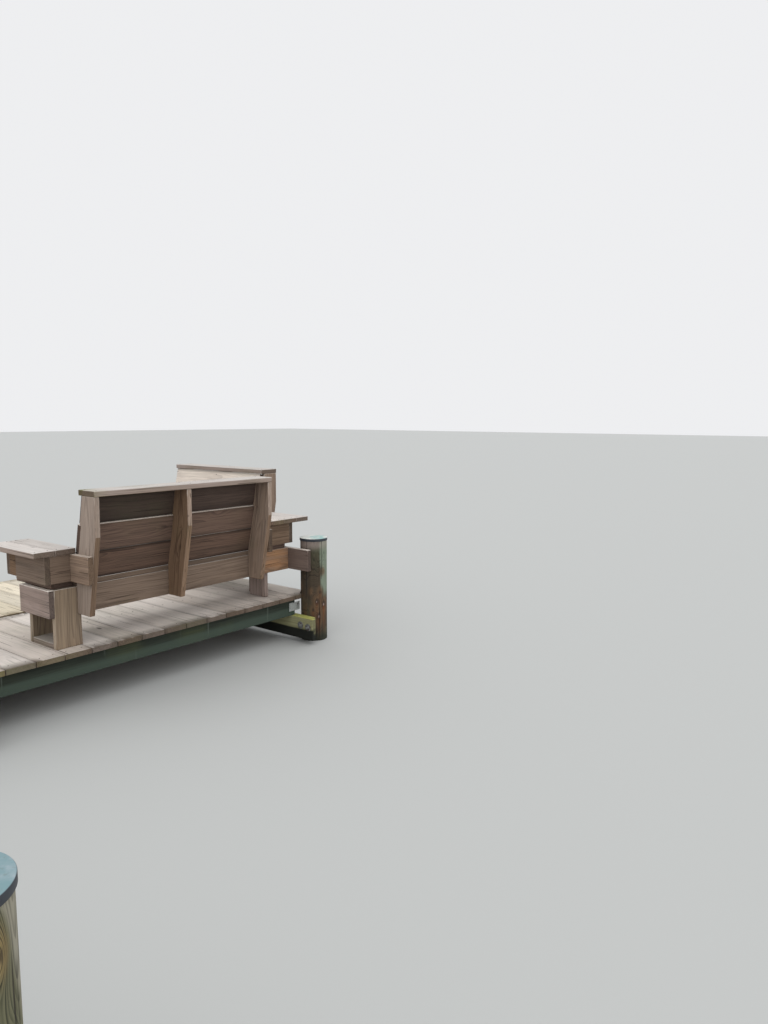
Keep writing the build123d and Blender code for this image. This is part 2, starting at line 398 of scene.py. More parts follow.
def box_board(points: Array, axes: Array | None = None, lofting: Lofting = Lofting()) -> Board:
    """A board that fills a straight solid, its grain along the solid's length.

    The stock width gives the width's direction; of the other two the longer is the
    length. Given axes are the length, width and thickness directions.

    Args:
        points: The solid's corners.
        axes: Three unit rows, or None for a solid square to the frame.
        lofting: How its surface is laid out.

    Returns:
        The board.
    """
    if axes is None:
        spans = np.ptp(points, axis=0)
        stock = [i for i in range(3) if min(abs(spans[i] - w) for w in STOCK_WIDTHS) < WIDTH_TOLERANCE]
        order = list(np.argsort(spans))
        thick = order[0]
        wide = stock[0] if stock and stock[0] != thick else order[1]
        long = ({0, 1, 2} - {thick, wide}).pop()
        axes = np.eye(3)[[long, wide, thick]]
    places = points @ axes.T
    low, high = extent(places)
    middle, half = (low + high) / 2, (high - low) / 2
    ends = np.array([[low[0], *middle[1:]], [high[0], *middle[1:]]]) @ axes
    width = np.repeat(axes[1][None], 2, axis=0)
    return Board(ends, width, np.full(2, half[1]), axes[2], float(half[2]), lofting)


@dataclass(frozen=True)
class Signal:
    """What nodes work out at each point. Its + - * and / add Math nodes."""

    graph: "Graph"
    socket: bpy.types.NodeSocket

    def __add__(self, other: "Signal | float") -> "Signal":
        """Add."""
        return self.graph.calc("ADD", self, other)

    def __sub__(self, other: "Signal | float") -> "Signal":
        """Subtract."""
        return self.graph.calc("SUBTRACT", self, other)

    def __rsub__(self, other: float) -> "Signal":
        """Subtract from a number."""
        return self.graph.calc("SUBTRACT", other, self)

    def __mul__(self, other: "Signal | float") -> "Signal":
        """Multiply."""
        return self.graph.calc("MULTIPLY", self, other)

    def __truediv__(self, other: "Signal | float") -> "Signal":
        """Divide."""
        return self.graph.calc("DIVIDE", self, other)

    def clamped(self) -> "Signal":
        """Keep the last Math node's result from 0 to 1."""
        self.socket.node.use_clamp = True
        return self

    def other(self, output: str | int) -> "Signal":
        """Another output of the same node."""
        return Signal(self.graph, self.socket.node.outputs[output])


def dim(colour: Colour, share: float) -> Colour:
    """A darker shade of a colour."""
    return tuple(part * share for part in colour)


class Graph:
    """A small helper that adds and joins the nodes of one material."""

    def __init__(self, name: str) -> None:
        """Start an empty material.

        Args:
            name: The material's name.
        """
        self.material = bpy.data.materials.new(name)
        self.material.use_nodes = True
        self.tree = self.material.node_tree
        self.shader = self.tree.nodes["Principled BSDF"]

    def put(self, target: bpy.types.NodeSocket, value: object) -> None:
        """Join a signal to an input, or set the input's own value.

        Args:
            target: The input.
            value: A signal, a number, a vector or a colour.
        """
        if isinstance(value, Signal):
            self.tree.links.new(value.socket, target)
        elif isinstance(value, tuple) and target.type == "RGBA":
            target.default_value = (*value, 1.0)
        else:
            target.default_value = value

    def node(self, kind: str, output: str | int, *values: object, **settings: object) -> Signal:
        """Add one node.

        Args:
            kind: Its type, after "ShaderNode".
            output: The output that is returned.
            values: Its inputs in order, or one table of them by name or number.
            settings: Its options.

        Returns:
            The output's signal.
        """
        node = self.tree.nodes.new(f"ShaderNode{kind}")
        for key, value in settings.items():
            setattr(node, key, value)
        table = values[0] if values and isinstance(values[0], dict) else dict(enumerate(values))
        for key, value in table.items():
            self.put(node.inputs[key], value)
        return Signal(self, node.outputs[output])

    def attribute(self, name: str, output: str = "Fac") -> Signal:
        """Read a mesh attribute."""
        return self.node("Attribute", output, attribute_name=name)

    def calc(self, operation: str, *values: object) -> Signal:
        """Work out one Math node."""
        return self.node("Math", 0, *values, operation=operation)

    def measure(self, operation: str, *values: object) -> Signal:
        """Work out a Vector Math node that gives one number."""
        return self.node("VectorMath", "Value", *values, operation=operation)

    def split(self, value: Signal) -> tuple[Signal, ...]:
        """Split a vector into its three numbers."""
        first = self.node("SeparateXYZ", 0, value)
        return first, first.other(1), first.other(2)

    def join(self, *parts: object) -> Signal:
        """Make a vector of three numbers."""
        return self.node("CombineXYZ", 0, *parts)

    def place(self) -> Signal:
        """The place in the jetty's own frame."""
        return self.node("TexCoord", "Object")

    def normal(self) -> Signal:
        """The direction that the surface faces."""
        return self.node("NewGeometry", "Normal")

    def noise(self, place: Signal, detail: float, scale: float = 1.0) -> Signal:
        """A noise pattern at a place."""
        return self.node("TexNoise", "Fac", {"Vector": place, "Scale": scale, "Detail": detail})

    def stretched(self, parts: Sequence[Signal], scales: Triple, detail: float) -> Signal:
        """Noise at three numbers, each scaled on its own."""
        return self.noise(self.join(*(part * scale for part, scale in zip(parts, scales))), detail)

    def ramp(self, value: Signal, low: float, high: float, first: float = 0, last: float = 1) -> Signal:
        """Ease from first to last as the value goes from low to high."""
        table = {"Value": value, "From Min": low, "From Max": high, "To Min": first, "To Max": last}
        return self.node("MapRange", 0, table, interpolation_type="SMOOTHSTEP")

    def rings(self, reach: Signal, width: float) -> Signal:
        """Dark late wood: each ring rises slowly, falls fast and has its own strength.

        Args:
            reach: The distance from the pith.
            width: The distance between rings.

        Returns:
            How dark the wood is, from 0 to 1.
        """
        number = reach / width
        step = self.calc("FRACT", number)
        line = self.ramp(step, 0.15, 0.85) * self.ramp(step, 1.0, 0.92)
        chance = self.node("TexWhiteNoise", "Value", {"W": self.calc("FLOOR", number)}, noise_dimensions="1D")
        return line * self.ramp(chance, 0, 1, 0.25, 1.0)

    def mix(self, share: object, first: object, second: object) -> Signal:
        """Blend two colours by a share."""
        return self.node("Mix", 2, {0: share, 6: first, 7: second}, data_type="RGBA", clamp_factor=True)

    def shade(self, **inputs: object) -> None:
        """Set the shader's inputs, named with _ for each space."""
        for key, value in inputs.items():
            self.put(self.shader.inputs[key.replace("_", " ")], value)

    def bump(self, height: Signal, strength: float, distance: float) -> None:
        """Raise the surface's shading by a height."""
        table = {"Strength": strength, "Distance": distance, "Height": height}
        self.shade(Normal=self.node("Bump", 0, table))


@dataclass(frozen=True)
class Timber:
    """One finish of sawn timber, from sheltered to bleached.

    light and dark are the sheltered wood between and on its growth rings, grey is
    the bleached wood of upright faces, pale that of faces the rain falls on. mark is
    the colour of the mark layer and of drips. end_moss grows on sawn ends and is
    thicker towards -X, low_algae on the lower part of joists.
    """

    name: str
    slot: str
    light: Colour
    dark: Colour
    grey: Colour
    pale: Colour
    stain: Colour = (0.06, 0.045, 0.035)
    stained: float = 0.35
    weathered_top: float = 0.9
    ring: float = 0.007
    contrast: float = 0.6
    tone_range: float = 0.25
    roughness: float = 0.84
    algae: float = 0.25
    algae_colour: Colour = (0.11, 0.125, 0.055)
    wet_below: float = 0.0
    wet: Colour = (0.016, 0.017, 0.014)
    drips: float = 0.0
    end_moss: float = 0.0
    moss_colour: Colour = (0.25, 0.265, 0.085)
    low_algae: float = 0.0
    low_colour: Colour = (0.060, 0.080, 0.064)
    mark: Colour = (0.33, 0.16, 0.06)

    def material(self) -> bpy.types.Material:
        """Build the finish as nodes.

        Growth rings are distance from the pith plus a slow sway, a taper and a
        push round knots. Fibres, streaks and drying checks are noise drawn out
        along the grain. Faces that look down stay brown, upright faces bleach by
        the board's fade, faces that look up bleach most. Algae follows slow noise.

        Returns:
            The material.
        """
        g = Graph(self.name)
        parts = along, across, through = g.split(g.attribute("grain", "Vector"))
        tone, end, fade, mark, soil = (g.attribute(name) for name in LAYERS)
        place = g.place()
        out, _, height = g.split(place)
        upward = g.split(g.normal())[2]

        # Knots stand in a few cells of a pattern drawn out along the grain
        spread = g.join(along * 3.1, across * 8.0, tone * 9.0)
        cells = g.node("TexVoronoi", "Distance", {"Scale": 1.0, "Vector": spread})
        chosen = g.calc("GREATER_THAN", g.split(cells.other("Color"))[0], 0.82)
        knot, push = g.ramp(cells, 0.15, 0.06) * chosen, g.ramp(cells, 0.6, 0.0) * chosen

        # Growth rings, fibres and drying checks
        sway = g.stretched(parts, (0.8, 5.0, 5.0), 2) * 0.075
        ripple = g.stretched(parts, (5.0, 30.0, 30.0), 2) * 0.006
        reach = g.measure("LENGTH", g.join(0.0, across, through)) + (sway + ripple)
        late = g.rings(reach + (along * 0.008 + push * 0.02), self.ring)
        fibre = g.stretched(parts, (7.0, 280.0, 280.0), 2)
        thread = g.stretched(parts, (2.6, 120.0, 120.0), 3)
        streak = g.stretched(parts, (0.8, 15.0, 15.0), 3)
        check = g.ramp(g.stretched(parts, (1.6, 110.0, 110.0), 1), 0.685, 0.715)
        lines = (late * self.contrast + (fibre - 0.5) * 0.8 + (thread - 0.45) * 1.7).clamped()
        blotch = g.noise(place, 4, 2.1)
        uneven = streak + blotch

        # Sheltered, bleached and rained-on wood
        colour = g.mix(lines, self.light, self.dark)
        colour = g.mix(g.ramp(streak, 0.5, 0.72, 0, self.stained), colour, self.stain)
        side = fade * g.ramp(upward, -0.17, -0.02, 0.15, 1.0)
        side = (side * g.ramp(uneven, 0.75, 1.15, 1.15, 0.75)).clamped()
        colour = g.mix(side, colour, g.mix(lines * 0.85, self.grey, dim(self.grey, 0.45)))
        top = self.weathered_top
        patchy = g.ramp(blotch + thread * 0.6, 0.55, 1.05, 0.72 * top, top)
        paled = g.mix(lines * 0.65, self.pale, dim(self.pale, 0.55))
        colour = g.mix(g.ramp(upward, 0.02, 0.22) * patchy, colour, paled)

        # Marks, knots, checks, sawn ends, dirt and painted shade, and algae
        marked = g.mix(lines, self.mark, dim(self.mark, 0.55))
        # The mark colour is dirt, fresh wood or moss on most finishes, and painted shade on the corner box's
        # ends
        colour = g.mix(mark * g.ramp(uneven, 0.8, 1.1, 0.25, 0.95), colour, marked)
        colour = g.mix(knot * 0.8, colour, dim(self.dark, 0.35))
        colour = g.mix(check * 0.75, colour, dim(self.dark, 0.4))
        colour = g.mix(end * 0.75, colour, g.mix(lines, dim(self.light, 0.5), dim(self.dark, 0.35)))
        if self.end_moss > 0:
            thicker = g.ramp(out + blotch, -1.6, -3.0, 0, self.end_moss)
            colour = g.mix(end * thicker, colour, self.moss_colour)
        # Dirt and painted shade: darker by this layer, such as the painted shade on the top back slat under
        # the cap
        colour = g.mix(soil * g.ramp(uneven, 0.75, 1.15, 0.7, 1.0), colour, dim(self.dark, 0.3))
        green = g.ramp(blotch, 0.5, 0.68, 0, self.algae) * g.ramp(thread, 0.35, 0.6, 0.3, 1.0)
        colour = g.mix(green, colour, self.algae_colour)
        if self.low_algae > 0:
            ragged = height + (streak - 0.5) * 0.06
            colour = g.mix(g.ramp(ragged, 0.31, 0.262, 0, self.low_algae), colour, self.low_colour)
        if self.drips > 0:
            run = g.stretched(g.split(place), (26.0, 26.0, 1.1), 2)
            colour = g.mix(g.ramp(run, 0.64, 0.72, 0, self.drips), colour, self.mark)
        if self.wet_below > 0:
            ragged = height + (streak - 0.5) * 0.14
            colour = g.mix(g.ramp(ragged, self.wet_below + 0.012, self.wet_below - 0.03), colour, self.wet)

        value = g.ramp(tone, 0, 1, 1 - self.tone_range / 2, 1 + self.tone_range / 2)
        richness = g.ramp(g.calc("FRACT", tone * 7.3), 0, 1, 0.85, 1.12)
        colour = g.node("HueSaturation", 0, {"Value": value, "Saturation": richness, "Color": colour})
        g.shade(Base_Color=colour, Roughness=self.roughness, Specular_IOR_Level=0.2)
        g.bump(late * 0.5 + fibre * 0.7 - check * 1.5, 0.5, 0.0014)
        return g.material


BENCH = Timber(
    "bench_timber", "bench_frame_timber", light=(0.200, 0.133, 0.088), dark=(0.082, 0.050, 0.034),
    grey=(0.41, 0.337, 0.288), pale=(0.50, 0.44, 0.385), mark=(0.42, 0.205, 0.085),
)
LEG = replace(BENCH, name="leg_timber", light=(0.215, 0.145, 0.080), grey=(0.43, 0.345, 0.255))
# Its dark mark colour is painted shade, laid at the -Y ends of the corner box's boards
CORNER_BOX = replace(BENCH, name="corner_box_timber", mark=(0.035, 0.027, 0.022))
SLAT = Timber(
    "slat_timber", "bench_frame_timber", light=(0.140, 0.092, 0.070), dark=(0.056, 0.037, 0.030),
    grey=(0.385, 0.29, 0.25), pale=(0.86, 0.775, 0.69),
    stained=0.5, algae=0.12, ring=0.0055, contrast=0.55, weathered_top=1.0,
)
BENCH_TOP = Timber(
    "bench_top_timber", "bench_top_timber", light=(0.23, 0.155, 0.105), dark=(0.11, 0.073, 0.05),
    grey=(0.40, 0.32, 0.28), pale=(0.68, 0.64, 0.60), mark=(0.19, 0.20, 0.05),
)
DECK = Timber(
    "decking_timber", "weathered_decking", light=(0.27, 0.20, 0.155), dark=(0.13, 0.092, 0.075),
    grey=(0.30, 0.24, 0.20), pale=(0.77, 0.705, 0.64), mark=(0.11, 0.085, 0.058),
    contrast=0.5, tone_range=0.16, end_moss=0.75,
)
NEW_DECK = Timber(
    "newer_decking_timber", "newer_decking", light=(0.44, 0.34, 0.22), dark=(0.28, 0.20, 0.12),
    grey=(0.50, 0.42, 0.32), pale=(0.78, 0.71, 0.57), mark=(0.25, 0.20, 0.13), algae=0.1,
)
JOIST = Timber(
    "joist_timber", "joist_timber", light=(0.024, 0.028, 0.022), dark=(0.010, 0.011, 0.010),
    grey=(0.052, 0.066, 0.050), pale=(0.11, 0.12, 0.095), stain=(0.011, 0.012, 0.010),
    mark=(0.12, 0.14, 0.12), stained=0.8, drips=0.5, low_algae=0.7,
)
BEAM = Timber(
    "beam_timber", "beam_timber", light=(0.31, 0.295, 0.175), dark=(0.15, 0.145, 0.085),
    grey=(0.36, 0.35, 0.215), pale=(0.42, 0.42, 0.13), stain=(0.06, 0.06, 0.04),
    stained=0.4, wet_below=0.125,
)


@dataclass(frozen=True)
class Dress:
    """How one node's boards are finished.

    wear has, for each board in order of place, how it is weathered and how dark it
    is painted for dirt and for shade. The last one serves for the boards after it.
    """

    timber: Timber
    wear: tuple[Wear, ...]


DRESSES: dict[str, Dress] = {
    "near_back_uprights": Dress(BENCH, (Wear(1.1, 0.8), Wear(0.05, 0.6), Wear(0.4, 0.6))),
    "end_back_uprights": Dress(BENCH, (Wear(0.35, 0.7), Wear(0.3, 0.7), Wear(0.6, 0.7))),
    # The top slat is painted darker on one wide face as shade under the cap, and slat edges as shade in the
    # gaps
    "near_back_slats": Dress(
        SLAT, (Wear(0.1, 0.1, 0.62, 0.9, one_sided=True), Wear(0.1, 0.1, 0.0, 0.2), Wear(0.1, 0.1, 0.0, 0.95))
    ),
    "end_back_slats": Dress(SLAT, (Wear(0.1, 0.1, 0.0, 0.6),)),
    "near_aprons": Dress(BENCH, (Wear(0.12, 0.25, 0.05, 0.2),)),
    "end_aprons": Dress(SLAT, (Wear(0.4, 0.6),)),
    "near_arm_legs": Dress(LEG, (Wear(0.22, 0.75),)),
    "end_arm_legs": Dress(BENCH, (Wear(0.3, 0.65),)),
    "near_arm_side_apron": Dress(SLAT, (Wear(0.95, 0.6),)),
    "end_arm_side_apron": Dress(SLAT, (Wear(0.75, 0.7),)),
    "near_arm_box_sides": Dress(BENCH, (Wear(0.0, 0.2, 0.1), Wear(0.35, 0.5))),
    "end_arm_box_sides": Dress(BENCH, (Wear(0.3, 0.5),)),
    "near_arm_box_ends": Dress(BENCH, (Wear(0.0, 0.2, 0.2), Wear(0.3, 0.5))),
    "end_arm_box_ends": Dress(BENCH, (Wear(0.1, 0.4, 0.1),)),
    "near_arm_face_board": Dress(BENCH, (Wear(0.2, 0.3),)),
    "end_arm_face_board": Dress(BENCH, (Wear(0.4, 0.5),)),
    "corner_leg_near": Dress(SLAT, (Wear(0.6, 0.5),)),
    "corner_leg_end": Dress(SLAT, (Wear(0.1, 0.2, 0.3),)),
    "corner_box_sides": Dress(CORNER_BOX, (Wear(0.0, 0.2), Wear(0.3, 0.3))),
    "corner_box_ends": Dress(CORNER_BOX, (Wear(0.1, 0.3), Wear(0.4, 0.5))),
    "table_spacers": Dress(SLAT, (Wear(0.35, 0.3),)),
    "leg_foot_plates": Dress(BENCH, (Wear(0.5, 0.6),)),
    "near_seat": Dress(BENCH_TOP, (Wear(0.6, 0.0, 0.0, 0.4),)),
    "end_seat": Dress(BENCH_TOP, (Wear(0.6, 0.5),)),
    "near_back_cap": Dress(BENCH_TOP, (Wear(0.6, 0.85),)),
    "end_back_cap": Dress(BENCH_TOP, (Wear(0.6, 0.95),)),
    "near_arm_top": Dress(BENCH_TOP, (Wear(0.6, 0.8),)),
    "end_arm_top": Dress(BENCH_TOP, (Wear(0.6, 0.8),)),
    "corner_top": Dress(BENCH_TOP, (Wear(0.6, 0.5),)),
    "head_joists_near": Dress(JOIST, (Wear(0.3, 0.3),)),
    "head_joists_far": Dress(JOIST, (Wear(0.3, 0.3),)),
    "walkway_joists": Dress(JOIST, (Wear(0.3, 0.3),)),
    "head_beam_inner_plies": Dress(BEAM, (Wear(0.4, 0.4),)),
    "head_beam_outer_plies": Dress(BEAM, (Wear(0.5, 0.5),)),
    "walkway_beam_inner_plies": Dress(BEAM, (Wear(0.4, 0.4),)),
    "walkway_beam_outer_plies": Dress(BEAM, (Wear(0.5, 0.5),)),
}

BACK_END, FRESH_RISE, REAR_APRON = -0.59, 0.03, 0.175
MOSS_REACH = 0.12
SAWN_DEPTH, SHORTEST_CROSSING = 0.002, 0.1


def apron_freshness(points: Array) -> Array:
    """Fresh orange wood on the rear apron between the benches: it rises from 0 to 1 past the back's end."""
    past = np.clip((points[:, 0] - BACK_END) / FRESH_RISE, 0, 1)
    return past * (points[:, 1] < REAR_APRON)


def cap_moss(points: Array) -> Array:
    """Moss at the near back cap's outer end: it falls evenly from 1 to 0 away from the end."""
    return np.clip(1 - (points[:, 0] - points[:, 0].min()) / MOSS_REACH, 0, 1)


def shaded_crossing_end(points: Array) -> Array:
    """Painted shade: the sawn end of a board that runs along Y, where it faces -Y, is painted dark."""
    crossing = float(np.ptp(points[:, 1]) > SHORTEST_CROSSING)
    return (points[:, 1] < points[:, 1].min() + SAWN_DEPTH) * crossing


MARKS: dict[str, Callable[[Array], Array]] = {
    "near_aprons": apron_freshness,
    "near_back_cap": cap_moss,
    "corner_box_ends": shaded_crossing_end,
}


@dataclass
class Boards:
    """Every piece that is made of sawn boards, except the decking."""

    seed: int = 11
    slat_swell: float = 0.0021
    lowest_reach: float = 0.0015
    made: dict[str, bpy.types.Material] = field(default_factory=dict)

    def finish(self, timber: Timber) -> bpy.types.Material:
        """The finish's material, made once.

        Args:
            timber: The finish.

        Returns:
            Its material.
        """
        if timber.name not in self.made:
            self.made[timber.name] = timber.material()
        return self.made[timber.name]

    def leaning(self, points: Array) -> Board:
        """A back slat: its width axis runs from its lowest corner up the lean.

        Args:
            points: The slat's corners.

        Returns:
            The board.
        """
        long = int(np.argmax(np.ptp(points, axis=0)))
        section = points[np.abs(points[:, long] - points[:, long].min()) < SAME_PLACE]
        section = section[np.argsort(section[:, 2])]
        width = section[2] - section[0]
        width /= np.linalg.norm(width)
        length = np.eye(3)[long]
        board = box_board(points, np.stack([length, width, np.cross(length, width)]), FLAT)
        board.half_width = board.half_width + self.slat_swell
        return board

    def upright(self, points: Array) -> Board:
        """A back upright: at each height it reaches from its back edge to its front edge.

        Corners on each side of the line between the middles of foot and head give
        the two edges, which run straight from one corner to the next.

        Args:
            points: The upright's corners.

        Returns:
            The board.
        """
        spans = np.ptp(points, axis=0)
        thin, deep = sorted((0, 1), key=lambda axis: spans[axis])
        heights, depths = points[:, 2], points[:, deep]
        foot = depths[heights < heights.min() + SAME_PLACE].mean()
        head = depths[heights > heights.max() - SAME_PLACE].mean()
        middle = np.interp(heights, [heights.min(), heights.max()], [foot, head])
        back, front = (
            np.unique(np.stack([heights[side], depths[side]], axis=1).round(5), axis=0)
            for side in (depths < middle, depths >= middle)
        )
        z = np.unique(np.concatenate([back[:, 0], front[:, 0]]))
        low, high = (np.interp(z, edge[:, 0], edge[:, 1]) for edge in (back, front))
        centre = np.zeros((len(z), 3))
        centre[:, thin] = (points[:, thin].min() + points[:, thin].max()) / 2
        centre[:, deep] = (low + high) / 2
        centre[:, 2] = z
        width = np.repeat(np.eye(3)[deep][None], len(z), axis=0)
        return Board(centre, width, (high - low) / 2, np.eye(3)[thin], spans[thin] / 2)

    def board(self, node: str, points: Array, lowest: float) -> Board:
        """The board that one solid stands for.

        Args:
            node: The solid's node.
            points: Its corners.
            lowest: The height of the node's lowest corner.

        Returns:
            The board.
        """
        if node.endswith("uprights"):
            return self.upright(points)
        if node.endswith("slats"):
            board = self.leaning(points)
            if points[:, 2].min() - lowest < WIDTH_TOLERANCE:
                board.half_width = board.half_width + self.lowest_reach
                board.centre = board.centre - self.lowest_reach * board.width_axis
            return board
        flat = DRESSES[node].timber is BENCH_TOP
        return box_board(points, lofting=FINE if node in MARKS else FLAT if flat else Lofting())

    def build(self) -> None:
        """Make each node's boards as one piece and hide the node's own mesh."""
        for offset, (node, dress) in enumerate(DRESSES.items()):
            random = np.random.default_rng(self.seed + offset)
            skin = Skin()
            solids = loose_solids(node)
            lowest = min(points[:, 2].min() for points in solids)
            for index, points in enumerate(solids):
                board = self.board(node, points, lowest)
                board.wear = dress.wear[min(index, len(dress.wear) - 1)]
                board.add_to(skin, random, mark=MARKS.get(node))
            piece = skin.build(f"{node}_boards", self.finish(dress.timber))
            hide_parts(node)


@dataclass
class Decking:
    """The planks of one deck, laid across it and scribed round the piles."""

    node: str
    timber: Timber
    along: int
    first_joint: float
    seed: int
    piles: Sequence[tuple[float, float]]
    pitch: float = 0.1884
    gap: float = 0.0034
    ragged: float = 0.0012
    dirt_reach: float = 0.06
    clearance: float = 0.005
    pile_radius: float = 0.115
    pile_margin: float = 0.13
    lofting: Lofting = Lofting(corner=0.0026, step=0.1, bow=0.0005, cup=0.0003)
    scribed_across: int = 18

    def joints(self, low: float, high: float) -> Array:
        """The middles of the gaps between planks, at even steps, and the deck's two ends.

        Args:
            low: Where the deck starts.
            high: Where it ends.

        Returns:
            Their places, in order.
        """
        count = math.ceil((self.first_joint - low) / self.pitch)
        inner = self.first_joint - self.pitch * np.arange(count)
        inner = inner[(inner > low + self.gap) & (inner < high - self.gap)]
        return np.concatenate([[low], inner[::-1], [high]])

    def scribe(self, low: float, high: float) -> Callable[[Array], Array]:
        """Draw plank ends back from the piles.

        At each place across the deck the plank's run is shortened to start and stop
        at the pile's circle, and points keep their share of the run.

        Args:
            low: Where the planks start.
            high: Where they stop.

        Returns:
            The change to a plank's points.
        """
        cross = 1 - self.along

        def change(points: Array) -> Array:
            """Move points along the plank by their share of the shortened run.

            Args:
                points: The plank's points.

            Returns:
                The points in their new places.
            """
            starts, stops = np.full(len(points), low), np.full(len(points), high)
            reach = self.pile_radius + self.clearance
            for pile in self.piles:
                aside = points[:, cross] - pile[cross]
                half = np.sqrt(np.maximum(reach**2 - aside**2, 0))
                near = np.abs(aside) < reach
                if abs(pile[self.along] - low) < abs(pile[self.along] - high):
                    starts = np.where(near, np.maximum(starts, pile[self.along] + half), starts)
                else:
                    stops = np.where(near, np.minimum(stops, pile[self.along] - half), stops)
            share = (points[:, self.along] - low) / (high - low)
            moved = points.copy()
            moved[:, self.along] = starts + share * (stops - starts)
            return moved

        return change

    def dirt(self, points: Array) -> Array:
        """Dirt at plank ends, which falls evenly from 1 to 0 over its reach.

        Args:
            points: The plank's points.

        Returns:
            Its share at each point.
        """
        low, high = (corner[self.along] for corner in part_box(self.node))
        place = points[:, self.along]
        return np.clip(1 - np.minimum(place - low, high - place) / self.dirt_reach, 0, 1)

    def build(self, material: bpy.types.Material) -> None:
        """Lay the planks and hide the deck's slab.

        Args:
            material: The planks' finish.
        """
        low, high = (np.array(corner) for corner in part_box(self.node))
        cross = 1 - self.along
        random = np.random.default_rng(self.seed)
        joints = self.joints(low[cross], high[cross])
        skin = Skin()
        change = self.scribe(low[self.along], high[self.along])
        axes = np.eye(3)[[self.along, cross, 2]]
        for start, stop in zip(joints[:-1], joints[1:]):
            first, last = low.copy(), high.copy()
            first[cross] = start + (self.gap / 2 if start > low[cross] else 0)
            last[cross] = stop - (self.gap / 2 if stop < high[cross] else 0)
            first[self.along] += random.uniform(0, self.ragged)
            last[self.along] -= random.uniform(0, self.ragged)
            reach = first[cross] - self.pile_margin, last[cross] + self.pile_margin
            scribed = any(reach[0] < pile[cross] < reach[1] for pile in self.piles)
            lofting = replace(self.lofting, across=self.scribed_across) if scribed else self.lofting
            board = box_board(np.stack([first, last]), axes, lofting)
            board.wear = Wear(random.uniform(0.2, 0.6), random.uniform(0.3, 0.7), 0.0, 0.2)
            board.add_to(skin, random, change if scribed else None, self.dirt)
        piece = skin.build(f"{self.node}_planks", material)
        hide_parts(self.node)


